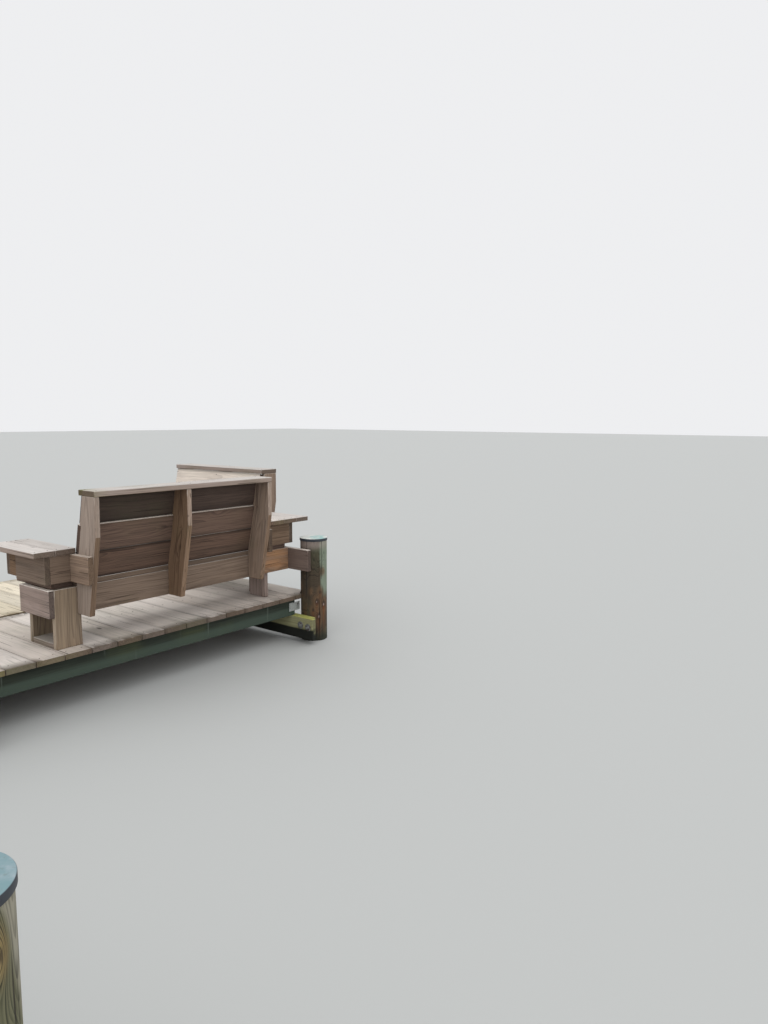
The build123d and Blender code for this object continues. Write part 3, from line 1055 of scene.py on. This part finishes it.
@dataclass(frozen=True)
class PileTimber:
    """The finish of the round piles.

    A pair of colours is the wood between and on its rings, and of halo, that round
    knots in the shade and in the sun. On a pile the soil layer holds how
    far knots push the rings aside, and the end layer the rust that runs down from them.
    """

    wood: Pair = ((0.066, 0.048, 0.033), (0.018, 0.014, 0.011))
    grime: Colour = (0.05, 0.042, 0.035)
    rust: Pair = ((0.13, 0.055, 0.022), (0.045, 0.022, 0.013))
    sunned: Pair = ((0.205, 0.205, 0.120), (0.022, 0.030, 0.018))
    mossy: Pair = ((0.245, 0.30, 0.23), (0.11, 0.135, 0.10))
    paler: Pair = ((0.36, 0.315, 0.255), (0.085, 0.065, 0.048))
    halo: Pair = ((0.135, 0.078, 0.046), (0.38, 0.285, 0.12))
    halo_ring: Colour = (0.024, 0.018, 0.013)
    knot_rim: Colour = (0.035, 0.026, 0.022)
    knot_heart: Colour = (0.34, 0.25, 0.22)
    drip: Colour = (0.17, 0.052, 0.014)
    head: Colour = (0.36, 0.30, 0.27)
    algae: Colour = (0.085, 0.105, 0.06)
    check: Colour = (0.022, 0.018, 0.015)
    wet: Colour = (0.02, 0.024, 0.018)
    weather_side: Triple = (0.80, -0.60, 0.0)

    def material(self) -> bpy.types.Material:
        """Build the finish as nodes.

        Contours of a slow noise drawn out in height stand for growth rings that
        meet the peeled surface. Checks, rust and wet stains run up and down; the
        side that faces the weather is green-grey, or pale by the pile's own fade.

        Returns:
            The material.
        """
        g = Graph("pile_timber")
        parts = x, y, z = g.split(g.attribute("grain", "Vector"))
        tone, run, fade, knot, push = (g.attribute(name) for name in LAYERS)
        place = g.place()
        height = g.split(place)[2]

        # Rings, fibres, streaks and drying checks
        shift = tone * 30.0
        swell = g.noise(g.join(x * 8.0, y * 8.0, z * 1.15 + shift), 2)
        swell = swell + g.stretched(parts, (60.0, 60.0, 6.0), 2) * 0.02
        late = g.rings(swell + push * 0.55, 0.05)
        fibre = g.stretched(parts, (230.0, 230.0, 7.0), 2)
        thread = g.stretched(parts, (70.0, 70.0, 2.2), 3)
        streak = g.noise(g.join(x * 20.0, y * 20.0, z * 1.5 + shift), 4)
        check = g.ramp(g.stretched(parts, (75.0, 75.0, 1.4), 1), 0.66, 0.70)
        lines = (late * 0.75 + (fibre - 0.5) * 0.6 + (thread - 0.5) * 1.2).clamped()

        # Shaded, rusty, sunned and weather-beaten wood
        colour = g.mix(lines, *self.wood)
        colour = g.mix(g.ramp(streak, 0.5, 0.7, 0, 0.6), colour, self.grime)
        rust = g.ramp(streak, 0.48, 0.60) * g.ramp(height, 0.5, 0.2) * 0.55
        colour = g.mix(rust, colour, g.mix(lines, *self.rust))
        colour = g.mix(fade * g.ramp(streak, 0.35, 0.6, 0.75, 1.0), colour, g.mix(lines, *self.sunned))
        facing = g.measure("DOT_PRODUCT", g.normal(), self.weather_side) + (streak - 0.5) * 1.1
        weather = g.ramp(facing, 0.28, 0.55) * g.ramp(height, 0.34, 0.46)
        weather = weather * (1.0 - fade * g.ramp(push, 0.25, 0.45, 0, 1.3)).clamped()
        beaten = g.mix(fade, g.mix(lines, *self.mossy), g.mix(lines, *self.paler))
        colour = g.mix(weather * 0.85, colour, beaten)

        # Knots and the rust below them, the dry head, algae, checks and the wet foot
        knot = knot + (thread - 0.5) * 0.35
        halo = g.mix(lines, g.mix(fade, *self.halo), self.halo_ring)
        colour = g.mix(g.ramp(knot, 0.25, 0.6) * 0.8, colour, halo)
        colour = g.mix(g.ramp(knot, 0.6, 0.8) * 0.75, colour, self.knot_rim)
        colour = g.mix(g.ramp(knot, 0.88, 0.98, 0, 0.85), colour, self.knot_heart)
        colour = g.mix(run * g.ramp(thread, 0.3, 0.6, 0.6, 1.0), colour, self.drip)
        colour = g.mix(g.ramp(height, 0.76, 0.83) * g.ramp(fade, 0.2, 0.1, 0, 0.55), colour, self.head)
        colour = g.mix(g.ramp(g.noise(place, 4, 3.0), 0.48, 0.66, 0, 0.4), colour, self.algae)
        colour = g.mix(check * 0.8, colour, self.check)
        colour = g.mix(g.ramp(height + (streak - 0.5) * 0.16, 0.10, 0.02, 0, 0.75), colour, self.wet)
        g.shade(Base_Color=colour, Roughness=0.85, Specular_IOR_Level=0.2)
        g.bump(late * 0.5 + (fibre - check * 1.5), 0.55, 0.003)
        return g.material


@dataclass(frozen=True)
class CapSheet:
    """The finish of the pile caps: pale weathered sheet on top, with painted shade round the rim."""

    blue: Pair = ((0.165, 0.275, 0.30), (0.35, 0.40, 0.44))
    white: Pair = ((0.26, 0.44, 0.42), (0.62, 0.63, 0.59))
    fleck: Colour = (0.16, 0.21, 0.20)
    rim: Colour = (0.028, 0.034, 0.045)

    def material(self) -> bpy.types.Material:
        """Build the finish as nodes; fade makes it whiter.

        Returns:
            The material.
        """
        g = Graph("cap_sheet")
        place = g.place()
        cloud, fleck = g.noise(place, 4, 13.0), g.noise(place, 2, 80.0)
        blue, white = (g.mix(g.ramp(cloud, 0.38, 0.62), *pair) for pair in (self.blue, self.white))
        colour = g.mix(g.attribute("fade"), blue, white)
        colour = g.mix(g.ramp(fleck, 0.58, 0.72, 0, 0.55), colour, self.fleck)
        # Painted shade: faces that do not look up, round the rim, take the near-black rim colour
        colour = g.mix(g.ramp(g.split(g.normal())[2], 0.35, 0.8), self.rim, colour)
        g.shade(Base_Color=colour, Roughness=0.6)
        g.bump(cloud, 0.2, 0.002)
        return g.material


@dataclass(frozen=True)
class Knot:
    """A knot on a pile: its angle round the pile, its height and its size.

    reach is how far it pushes the growth rings aside, rust how strongly rust runs
    down from it.
    """

    angle: float
    height: float
    size: float = 0.026
    reach: float = 0.04
    rust: float = 0.0


@dataclass
class Piles:
    """The round piles and their caps.

    fades says how far the sun has paled each node's piles. near_knots belong to the
    pile that stands past near_place. Caps past white_caps_past along Y are white.
    """

    around: int = 160
    up: int = 110
    seed: int = 5
    slot: str = "pile_timber"
    fades: dict[str, tuple[float, ...]] = field(default_factory=lambda: {
        "corner_pile": (0.05,),
        "near_row_piles": (0.3, 0.35),
        "far_row_piles": (0.4,),
        "walkway_piles": (0.75,),
    })
    corner_knots: tuple[Knot, ...] = (
        Knot(-1.60, 0.31, 0.036, rust=1.0), Knot(-2.17, 0.34, 0.034, rust=0.4),
        Knot(-2.60, 0.43, 0.024), Knot(-2.02, 0.21, 0.036, rust=0.6),
        Knot(-1.90, 0.42, 0.030, rust=0.3), Knot(-2.45, 0.27, 0.030, rust=0.4),
    )
    near_knots: tuple[Knot, ...] = (Knot(-1.26, 0.933, 0.028, reach=0.026), Knot(-0.98, 0.70, 0.024))
    near_place: tuple[float, float] = (-4.5, -4.0)
    taper: float = 0.0015
    lump: float = 0.0009
    proudest: float = 0.004
    checks: int = 9
    check_width: float = 0.022
    check_length: tuple[float, float] = (0.15, 0.4)
    check_depth: tuple[float, float] = (0.004, 0.010)
    check_lean: float = 0.25
    drawn_knots: int = 4
    big_knot: float = 0.034
    knot_swell: float = 0.005
    knot_dimple: float = 0.003
    rust_width: float = 0.013
    rust_start: float = 0.02
    rust_length: float = 0.12
    lid_rings: tuple[float, ...] = (0.02, 0.5, 0.97)
    cap_skirt: float = 0.008
    cap_bend: float = 0.004
    cap_around: int = 96
    white_caps_past: float = -1.0

    def column(
        self, skin: Skin, box: tuple[Array, Array], fade: float, knots: Sequence[Knot], random: Draws
    ) -> None:
        """Add one pile as a surface of angle and height.

        The radius is the pile's, less a taper, with low lumps made of a few cosines,
        a bell with a smaller dip in it at each knot, and drying checks, which are
        narrow grooves that fade at their ends. Rust runs down from a knot in a
        narrow bell that dies away with height. A flat top and foot close it.

        Args:
            skin: The skin that takes the surface.
            box: The lowest and the highest corner of the pile.
            fade: How far the sun has paled it.
            knots: Knots in known places.
            random: Draws the lumps, the checks and the other knots.
        """
        centre, radius, top = (box[0] + box[1])[:2] / 2, (box[1] - box[0])[0] / 2, box[1][2]
        a, h = np.meshgrid(full_turn(self.around), np.linspace(0, 1, self.up))
        shape = np.full_like(a, radius - self.taper)
        for wave in range(2, 6):
            phase, climb = random.uniform(0, 2 * math.pi), random.uniform(-3, 3)
            shape += self.lump * np.cos(wave * a + phase + climb * h)
        for _ in range(self.checks):
            where, middle = random.uniform(0, 2 * math.pi), random.uniform(0.1, 0.95)
            length, depth = random.uniform(*self.check_length), random.uniform(*self.check_depth)
            lean = random.uniform(-self.check_lean, self.check_lean)
            aside = np.angle(np.exp(1j * (a - where - lean * (h - middle))))
            groove = np.exp(-((aside / self.check_width) ** 2)) * np.exp(-(((h - middle) / length) ** 4))
            shape -= depth * groove
        drawn = [
            Knot(random.uniform(-math.pi, math.pi), random.uniform(0.1, 0.9) * top)
            for _ in range(self.drawn_knots)
        ]
        knotty, push, rusty = np.zeros_like(a), np.zeros_like(a), np.zeros_like(a)
        for knot in (*knots, *drawn):
            aside = np.angle(np.exp(1j * (a - knot.angle))) * radius
            away = np.hypot(aside, (h * top - knot.height) * 0.6) / knot.size
            shape += self.knot_swell * np.exp(-(away**2)) - self.knot_dimple * np.exp(-((away * 2.6) ** 2))
            knotty = np.maximum(knotty, knot.size / self.big_knot * np.exp(-away / 1.5))
            push += np.exp(-np.hypot(aside, (h * top - knot.height) * 0.35) / knot.reach)
            below = knot.height - h * top
            run = np.exp(-((aside / self.rust_width) ** 2)) * np.clip(below / self.rust_start, 0, 1)
            run = run * np.exp(-below.clip(0) / self.rust_length)
            rusty = np.maximum(rusty, knot.rust * run)
        shape = np.minimum(shape, radius + self.proudest)
        middle = np.array([centre[0], centre[1], 0.0])
        side = np.stack([shape * np.cos(a), shape * np.sin(a), h * top], axis=-1)
        inward = np.array(self.lid_rings)[:, None, None] * np.array([1.0, 1.0, 0.0])
        foot, head = side[0] * inward, side[-1] * inward[::-1]
        head[..., 2] = top
        lids = len(self.lid_rings)
        mark, push, rusty = (
            np.pad(part, ((lids, lids), (0, 0)), mode="edge").ravel() for part in (knotty, push, rusty)
        )
        surface = turned_surface(np.concatenate([foot, side, head]) + middle, middle)
        skin.add(*surface, tone=float(random.random()), end=rusty, fade=fade, mark=mark, soil=push)

    def cap(self, skin: Skin, box: tuple[Array, Array], fade: float, random: Draws) -> None:
        """Add one cap as a lathed profile: a rim, a rounded corner and a low crown.

        Args:
            skin: The skin that takes the surface.
            box: The lowest and the highest corner of the cap.
            fade: How white it is, from 0 to 1.
            random: Draws the cap's tone.
        """
        turn, bend = np.linspace(0, math.pi / 2, 5), self.cap_bend
        centre, radius = (box[0] + box[1])[:2] / 2, (box[1] - box[0])[0] / 2
        low, high = box[0][2] - self.cap_skirt, box[1][2]
        rim_out, crown_out = [0.01, radius - 0.002, radius], [radius * 0.7, radius * 0.35, 0.01]
        rim_up, crown_up = [low, low, low + 0.002], [high - 0.001, high - 0.0004, high]
        out = np.concatenate([rim_out, radius - bend + bend * np.cos(turn), crown_out])
        up = np.concatenate([rim_up, high - 0.0015 - bend + bend * np.sin(turn), crown_up])
        angle = full_turn(self.cap_around)
        flat = centre + out[:, None, None] * np.stack([np.cos(angle), np.sin(angle)], axis=-1)[None]
        points = np.concatenate([flat, np.repeat(up[:, None, None], len(angle), axis=1)], axis=-1)
        skin.add(*turned_surface(points, np.zeros(3)), tone=float(random.random()), fade=fade)

    def known_knots(self, node: str, low: Array) -> tuple[Knot, ...]:
        """The knots that one pile has in known places.

        Args:
            node: The pile's node.
            low: The pile's lowest corner.

        Returns:
            Its knots.
        """
        if node == "walkway_piles" and low[0] > self.near_place[0] and low[1] > self.near_place[1]:
            return self.near_knots
        return self.corner_knots if node == "corner_pile" else ()

    def build(self) -> None:
        """Make every pile and cap."""
        material = PileTimber().material()
        for offset, (node, fades) in enumerate(self.fades.items()):
            random = np.random.default_rng(self.seed + offset)
            skin = Skin()
            for index, points in enumerate(loose_solids(node)):
                box = extent(points)
                fade = fades[min(index, len(fades) - 1)]
                self.column(skin, box, fade, self.known_knots(node, box[0]), random)
            piece = skin.build(f"{node}_timber", material)
            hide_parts(node)
        random = np.random.default_rng(self.seed)
        skin = Skin()
        for points in loose_solids("pile_caps"):
            box = extent(points)
            self.cap(skin, box, float(box[0][1] > self.white_caps_past), random)
        piece = skin.build("pile_caps_sheet", CapSheet().material())
        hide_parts("pile_caps")


class Side(Enum):
    """The way a fastener's head looks, as a unit vector."""

    UP = (0.0, 0.0, 1.0)
    PLUS_X = (1.0, 0.0, 0.0)
    MINUS_X = (-1.0, 0.0, 0.0)
    PLUS_Y = (0.0, 1.0, 0.0)
    MINUS_Y = (0.0, -1.0, 0.0)


@dataclass(frozen=True)
class Metal:
    """Weathered steel: grey zinc with rust that grows out of slow noise."""

    name: str
    grey: Colour = (0.21, 0.215, 0.21)
    rust: Colour = (0.055, 0.030, 0.020)
    rusted: float = 0.45

    def material(self) -> bpy.types.Material:
        """Build the finish as nodes.

        Returns:
            The material.
        """
        g = Graph(self.name)
        place = g.place()
        cloud, fleck = g.noise(place, 4, 35.0), g.noise(place, 3, 260.0)
        colour = g.mix(g.ramp(fleck, 0.4, 0.65), self.grey, dim(self.grey, 0.6))
        colour = g.mix(g.ramp(cloud, 0.62 - 0.3 * self.rusted, 0.75 - 0.3 * self.rusted), colour, self.rust)
        g.shade(Base_Color=colour, Roughness=0.7, Metallic=0.3)
        g.bump(fleck, 0.25, 0.0008)
        return g.material


@dataclass
class Fasteners:
    """Bolts with washers and nuts through the beams, a strap, and screws in the boards.

    A bent is a place along its deck and the sides of it that carry beams. Bolts are
    places along the beam from the pile's middle, with their heights. tops has boards
    that lie flat, with the shares of their length where they are screwed down.
    """

    washer_radius: float = 0.031
    washer_thick: float = 0.005
    nut_radius: float = 0.0175
    nut_thick: float = 0.014
    stub_radius: float = 0.008
    stub_reach: float = 0.008
    beam_face: float = 0.191
    head_bents: tuple[tuple[float, tuple[int, ...]], ...] = ((0.0, (-1,)), (-3.048, (-1, 1)), (-6.096, (1,)))
    head_rows: tuple[tuple[float, int], ...] = ((0.0, -1), (2.546, 1))
    head_bolts: tuple[tuple[float, float], ...] = ((0.022, 0.153), (0.109, 0.146))
    walkway_bents: tuple[tuple[float, tuple[int, ...]], ...] = ((-3.001, (-1, 1)), (-6.002, (1,)))
    walkway_rows: tuple[float, ...] = (-4.177, -5.463)
    walkway_bolts: tuple[tuple[float, float], ...] = ((0.046, 0.141), (-0.046, 0.085))
    strap_corners: tuple[Triple, Triple] = ((-0.232, 0.0665, 0.262), (-0.108, 0.0705, 0.334))
    strap_nails: tuple[Triple, Triple] = ((-0.215, 0.0666, 0.285), (-0.195, 0.0666, 0.316))
    strap_seed: int = 3
    screw_seed: int = 7
    screw_radius: float = 0.0045
    screw_proud: float = 0.0007
    screw_depth: float = 0.003
    screw_inset: float = 0.045
    screw_stray: float = 0.006
    top_inset: float = 0.028
    slat_inset: float = 0.012
    slat_spread: float = 0.06
    joist_lines: dict[str, tuple[float, ...]] = field(default_factory=lambda: {
        "head_deck_near": (0.092, 0.643, 1.194),
        "head_deck_far": (1.352, 1.903, 2.454),
        "walkway_deck": (-5.371, -4.820, -4.269),
    })
    tops: tuple[tuple[tuple[str, ...], tuple[float, ...]], ...] = (
        (("near_seat", "near_back_cap", "end_seat", "end_back_cap"), (0.02, 0.5, 0.98)),
        (("near_arm_top", "end_arm_top", "corner_top"), (0.06, 0.94)),
    )
    near_uprights: tuple[float, ...] = (-0.591, -1.363, -2.077)
    end_uprights: tuple[float, ...] = (0.604, 1.1945, 1.785)

    def turned(
        self, skin: Skin, place: Array, facing: Array, profile: Sequence[tuple[float, float]], around: int
    ) -> None:
        """Add a part turned about an axis: its radius and reach follow the profile.

        Args:
            skin: The skin that takes the surface.
            place: Where its axis meets the surface that it sits on.
            facing: Unit vector of the axis.
            profile: Pairs of radius and reach along the axis.
            around: How many corners each ring has.
        """
        facing = np.asarray(facing, float)
        helper = np.array([0.0, 0.0, 1.0]) if abs(facing[2]) < 0.7 else np.array([1.0, 0.0, 0.0])
        first = np.cross(helper, facing)
        first /= np.linalg.norm(first)
        second = np.cross(facing, first)
        angle = full_turn(around)
        ring = np.cos(angle)[:, None] * first + np.sin(angle)[:, None] * second
        radius, reach = np.array(profile).T
        points = np.asarray(place) + radius[:, None, None] * ring[None] + reach[:, None, None] * facing
        skin.add(*turned_surface(points, np.zeros(3)), soft=around > 12)

    def bolt(self, skin: Skin, place: Array, side: Side) -> None:
        """Add a washer, a nut and the bolt's end.

        Args:
            skin: The skin that takes them.
            place: Where the bolt comes out of the beam.
            side: The way it looks.
        """
        thick, top = self.washer_thick, self.washer_thick + self.nut_thick
        end = top + self.stub_reach
        washer, nut, stub = self.washer_radius, self.nut_radius, self.stub_radius
        for around, profile in (
            (24, [(washer, -0.001), (washer, thick - 0.001), (washer - 0.001, thick), (0.002, thick)]),
            (6, [(nut, thick - 0.001), (nut, top - 0.002), (nut * 0.88, top), (0.002, top)]),
            (12, [(stub, top - 0.001), (stub, end - 0.0015), (stub * 0.8, end), (0.001, end)]),
        ):
            self.turned(skin, place, side.value, profile, around)

    def screw(self, skin: Skin, place: Array, facing: Array) -> None:
        """Add a low screw head.

        Args:
            skin: The skin that takes it.
            place: Its place on the board.
            facing: The way the board looks there.
        """
        r, proud = self.screw_radius, self.screw_proud
        profile = [(r, -self.screw_depth), (r, proud * 0.4), (r * 0.7, proud), (0.0005, proud)]
        self.turned(skin, place, facing, profile, 8)

    def bolts(self) -> Skin:
        """The bolts of every bent, on the outer faces of the beams and on the piles.

        Returns:
            All of them, as one skin.
        """
        skin = Skin()
        for x, sides in self.head_bents:
            for y, turn in self.head_rows:
                for sign in sides:
                    side = Side.PLUS_X if sign > 0 else Side.MINUS_X
                    for step, z in self.head_bolts:
                        self.bolt(skin, np.array([x + sign * self.beam_face, y + turn * step, z]), side)
        for y, sides in self.walkway_bents:
            for x in self.walkway_rows:
                for sign in sides:
                    side = Side.PLUS_Y if sign > 0 else Side.MINUS_Y
                    for step, z in self.walkway_bolts:
                        self.bolt(skin, np.array([x + step, y + sign * self.beam_face, z]), side)
        return skin

    def strap(self) -> Skin:
        """The pale strap from the near rim joist's outer face towards the corner pile, with two nails.

        Returns:
            Both, as one skin.
        """
        skin = Skin()
        plate = box_board(np.array(self.strap_corners), np.eye(3)[[0, 2, 1]], PLATE)
        plate.add_to(skin, np.random.default_rng(self.strap_seed))
        for place in self.strap_nails:
            self.screw(skin, np.array(place), Side.MINUS_Y.value)
        return skin

    def deck_screws(self, deck: Decking) -> Skin:
        """Two screws in each plank over each joist, set in from the plank's edges.

        Args:
            deck: The deck.

        Returns:
            The screws, as one skin.
        """
        skin = Skin()
        low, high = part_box(deck.node)
        cross = 1 - deck.along
        joints = deck.joints(low[cross], high[cross])
        random = np.random.default_rng(deck.seed + self.screw_seed)
        for start, stop in zip(joints[:-1], joints[1:]):
            if stop - start < 3 * self.screw_inset:
                continue
            for line in self.joist_lines[deck.node]:
                for edge in (start + self.screw_inset, stop - self.screw_inset):
                    place = np.array([0.0, 0.0, high[2]])
                    place[cross] = edge + random.uniform(-self.screw_stray, self.screw_stray)
                    place[deck.along] = line + random.uniform(-self.screw_stray, self.screw_stray)
                    self.screw(skin, place, Side.UP.value)
        return skin

    def board_screws(self, skin: Skin, node: str, stations: Sequence[float]) -> None:
        """Two screws across each flat-lying board at each station along it.

        Args:
            skin: The skin that takes the heads.
            node: The CAD node of the boards.
            stations: Shares of the board's length.
        """
        for points in loose_solids(node):
            low, high = extent(points)
            long = int(np.argmax((high - low)[:2]))
            inset = min(self.top_inset, (high - low)[1 - long] / 3)
            for station in stations:
                for edge in (low[1 - long] + inset, high[1 - long] - inset):
                    place = np.array([0.0, 0.0, high[2]])
                    place[long] = low[long] + station * (high[long] - low[long])
                    place[1 - long] = edge
                    self.screw(skin, place, Side.UP.value)

    def slat_screws(self, skin: Skin, back: str, inward: int, uprights: Sequence[float]) -> None:
        """Two screws in each slat's sitting face over each upright.

        Args:
            skin: The skin that takes the heads.
            back: The back's name.
            inward: 1 if the back is sat on from the plus side, else -1.
            uprights: Places of the uprights' middles along the back.
        """
        for points in loose_solids(f"{back}_slats"):
            board = Boards().leaning(points)
            long = int(np.argmax(np.abs(board.centre[1] - board.centre[0])))
            facing = board.thick_axis * (1 if board.thick_axis[1 - long] * inward > 0 else -1)
            low, high = sorted(board.centre[:, long])
            for place_along in uprights:
                for edge in (-self.slat_spread, self.slat_spread):
                    place = board.centre[0].copy()
                    place[long] = np.clip(place_along, low + self.slat_inset, high - self.slat_inset)
                    place += edge * board.width_axis[0] + board.half_thick * facing
                    self.screw(skin, place, facing)

    def build(self, decks: Sequence[Decking]) -> None:
        """Make the bolts, the strap and the screws.

        Args:
            decks: The decks that are screwed down.
        """
        self.bolts().build("beam_bolts", Metal("bolt_steel").material())
        pale = Metal("strap_steel", grey=(0.42, 0.44, 0.43), rusted=0.1)
        self.strap().build("joist_strap", pale.material())
        screws = Metal("screw_steel", grey=(0.13, 0.13, 0.13), rusted=0.9).material()
        for deck in decks:
            self.deck_screws(deck).build(f"{deck.node}_screws", screws)
        skin = Skin()
        for nodes, stations in self.tops:
            for node in nodes:
                self.board_screws(skin, node, stations)
        self.slat_screws(skin, "near_back", 1, self.near_uprights)
        self.slat_screws(skin, "end_back", -1, self.end_uprights)
        skin.build("bench_screws", screws)


@dataclass
class Studio:
    """The floor, the light and the camera at the photographer's place."""

    eye: Triple = (-4.708, -4.427, 1.900)
    heading: float = 37.8697
    pitch: float = 7.0716
    roll: float = 0.2343
    focal_pixels: float = 758.5
    picture_height: float = 1024.0
    sensor: float = 36.0
    farthest: float = 500.0
    floor_reach: float = 90.0
    floor_height: float = -0.001
    floor_colour: Colour = (0.46, 0.47, 0.46)
    surround: Colour = (0.90, 0.905, 0.92)
    surround_strength: float = 0.95
    light_from: Triple = (-0.22, -0.45, 0.86)
    spread: float = 125.0
    strength: float = 1.35

    def camera(self) -> None:
        """Place the camera by its heading from +X, its downward pitch and its roll."""
        data = bpy.data.cameras.new("viewpoint")
        data.sensor_width = self.sensor
        data.lens = self.sensor * self.focal_pixels / self.picture_height
        data.clip_end = self.farthest
        a, p, r = (math.radians(angle) for angle in (self.heading, self.pitch, self.roll))
        forward = Vector((math.cos(a) * math.cos(p), math.sin(a) * math.cos(p), -math.sin(p)))
        right = Vector((math.sin(a), -math.cos(a), 0))
        up = right.cross(forward)
        turned_right = right * math.cos(r) + up * math.sin(r)
        turned_up = up * math.cos(r) - right * math.sin(r)
        basis = Matrix((turned_right, turned_up, -forward)).transposed().to_4x4()
        eye = bpy.data.objects.new("viewpoint", data)
        eye.matrix_world = Matrix.Translation(self.eye) @ basis
        bpy.context.scene.collection.objects.link(eye)
        bpy.context.scene.camera = eye

    def floor(self) -> None:
        """A plain pale floor just under the piles' feet."""
        r, z = self.floor_reach, self.floor_height
        mesh = bpy.data.meshes.new("floor")
        mesh.from_pydata([(-r, -r, z), (r, -r, z), (r, r, z), (-r, r, z)], [], [(0, 1, 2, 3)])
        g = Graph("floor_paint")
        g.shade(Base_Color=self.floor_colour, Roughness=0.9)
        mesh.materials.append(g.material)
        floor = bpy.data.objects.new("floor", mesh)
        bpy.context.scene.collection.objects.link(floor)

    def light(self) -> None:
        """A broad soft light from high on the left and an even surround."""
        world = bpy.data.worlds.new("surround")
        bpy.context.scene.world = world
        world.use_nodes = True
        background = world.node_tree.nodes["Background"]
        background.inputs["Color"].default_value = (*self.surround, 1)
        background.inputs["Strength"].default_value = self.surround_strength
        data = bpy.data.lights.new("soft_light", "SUN")
        data.angle = math.radians(self.spread)
        data.energy = self.strength
        lamp = bpy.data.objects.new("soft_light", data)
        lamp.rotation_euler = Vector(self.light_from).to_track_quat("Z", "Y").to_euler()
        bpy.context.scene.collection.objects.link(lamp)
        bpy.context.scene.view_settings.view_transform = "Standard"

    def build(self) -> None:
        """Set the stage."""
        self.camera()
        self.floor()
        self.light()


def pile_places(*nodes: str) -> list[tuple[float, float]]:
    """The middles of the piles in these nodes, as x and y.

    Args:
        nodes: The nodes' names.

    Returns:
        One pair for each pile.
    """
    boxes = (extent(points) for node in nodes for points in loose_solids(node))
    return [(float((low[0] + high[0]) / 2), float((low[1] + high[1]) / 2)) for low, high in boxes]


def main() -> None:
    """Build the jetty's pieces in order."""
    logging.basicConfig(level=logging.INFO, format="%(message)s")
    Studio().build()
    boards = Boards()
    boards.build()
    head = pile_places("corner_pile", "near_row_piles", "far_row_piles")
    walkway = pile_places("walkway_piles")
    decks = (
        Decking("head_deck_near", DECK, along=1, first_joint=-0.1915, piles=head, seed=71),
        Decking("head_deck_far", NEW_DECK, along=1, first_joint=-0.150, piles=head, seed=72),
        Decking("walkway_deck", DECK, along=0, first_joint=-0.170, piles=walkway, seed=73),
    )
    for deck in decks:
        deck.build(boards.finish(deck.timber))
    Piles().build()
    Fasteners().build(decks)


if __name__ == "__main__":
    main()
